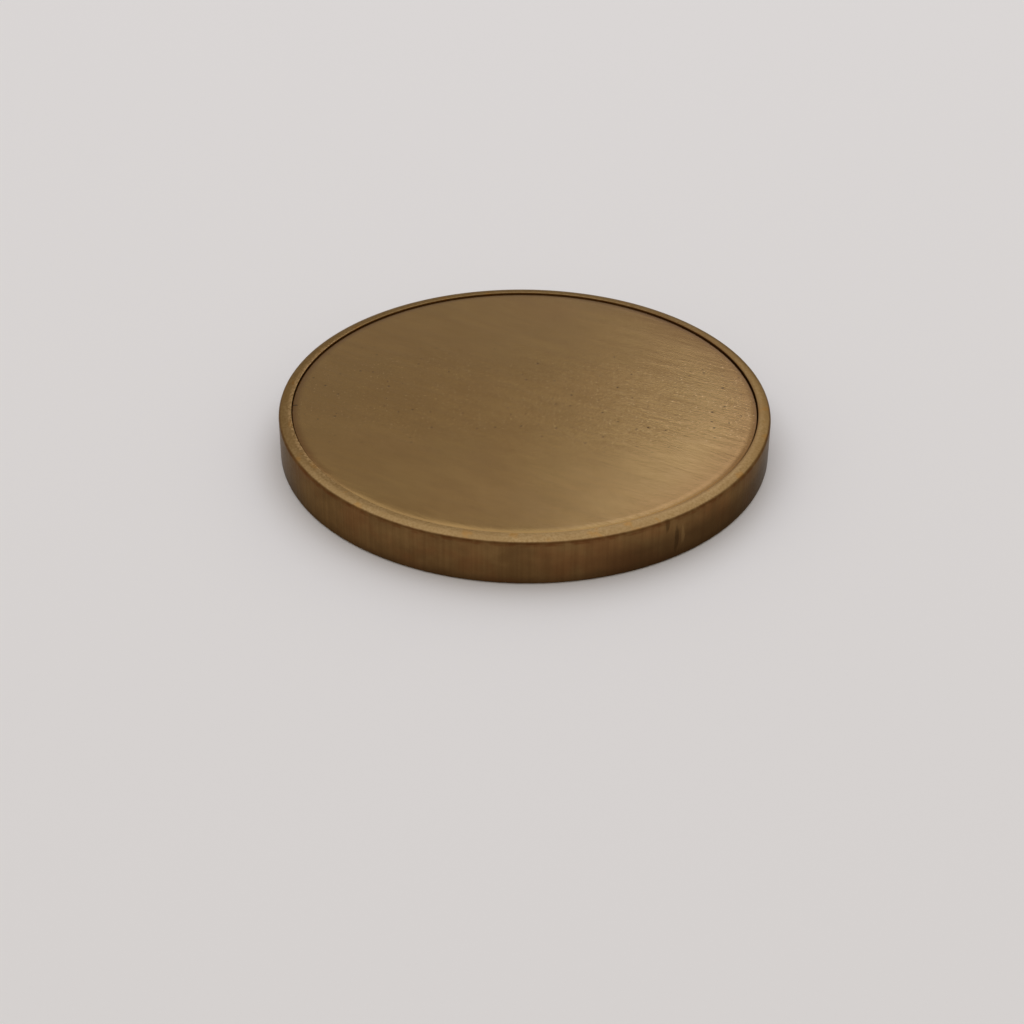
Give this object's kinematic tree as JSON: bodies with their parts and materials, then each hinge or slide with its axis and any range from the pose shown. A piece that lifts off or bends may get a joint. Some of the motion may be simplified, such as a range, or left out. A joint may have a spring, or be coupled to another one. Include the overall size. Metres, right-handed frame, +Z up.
{
  "type": "golf ball marker",
  "caption": "Flat round brass golf ball marker: a shallow drawn cup whose low raised rim frames a straight-grained brass face disc over a steel core.",
  "frame": {"origin": "centre of the flat underside, on the surface the marker rests on", "axes": "+Z up through the marker, out of its face; X and Y lie in the underside"},
  "size_m": [0.0254, 0.0254, 0.0025],
  "materials": {
    "cup_brass": "drawn and tumbled brass, lightly tarnished, fine draw lines up the wall",
    "face_brass": "straight-grained satin brass with a thin aged lacquer",
    "core_steel": "blanked cold-rolled steel, satin",
    "tape": "translucent double-sided adhesive film, matte"
  },
  "bodies": {
    "root": {"cup": "cup_brass", "core_tape": "tape", "steel_core": "core_steel", "face_tape": "tape", "face_disc": "face_brass"}
  },
  "joints": []
}
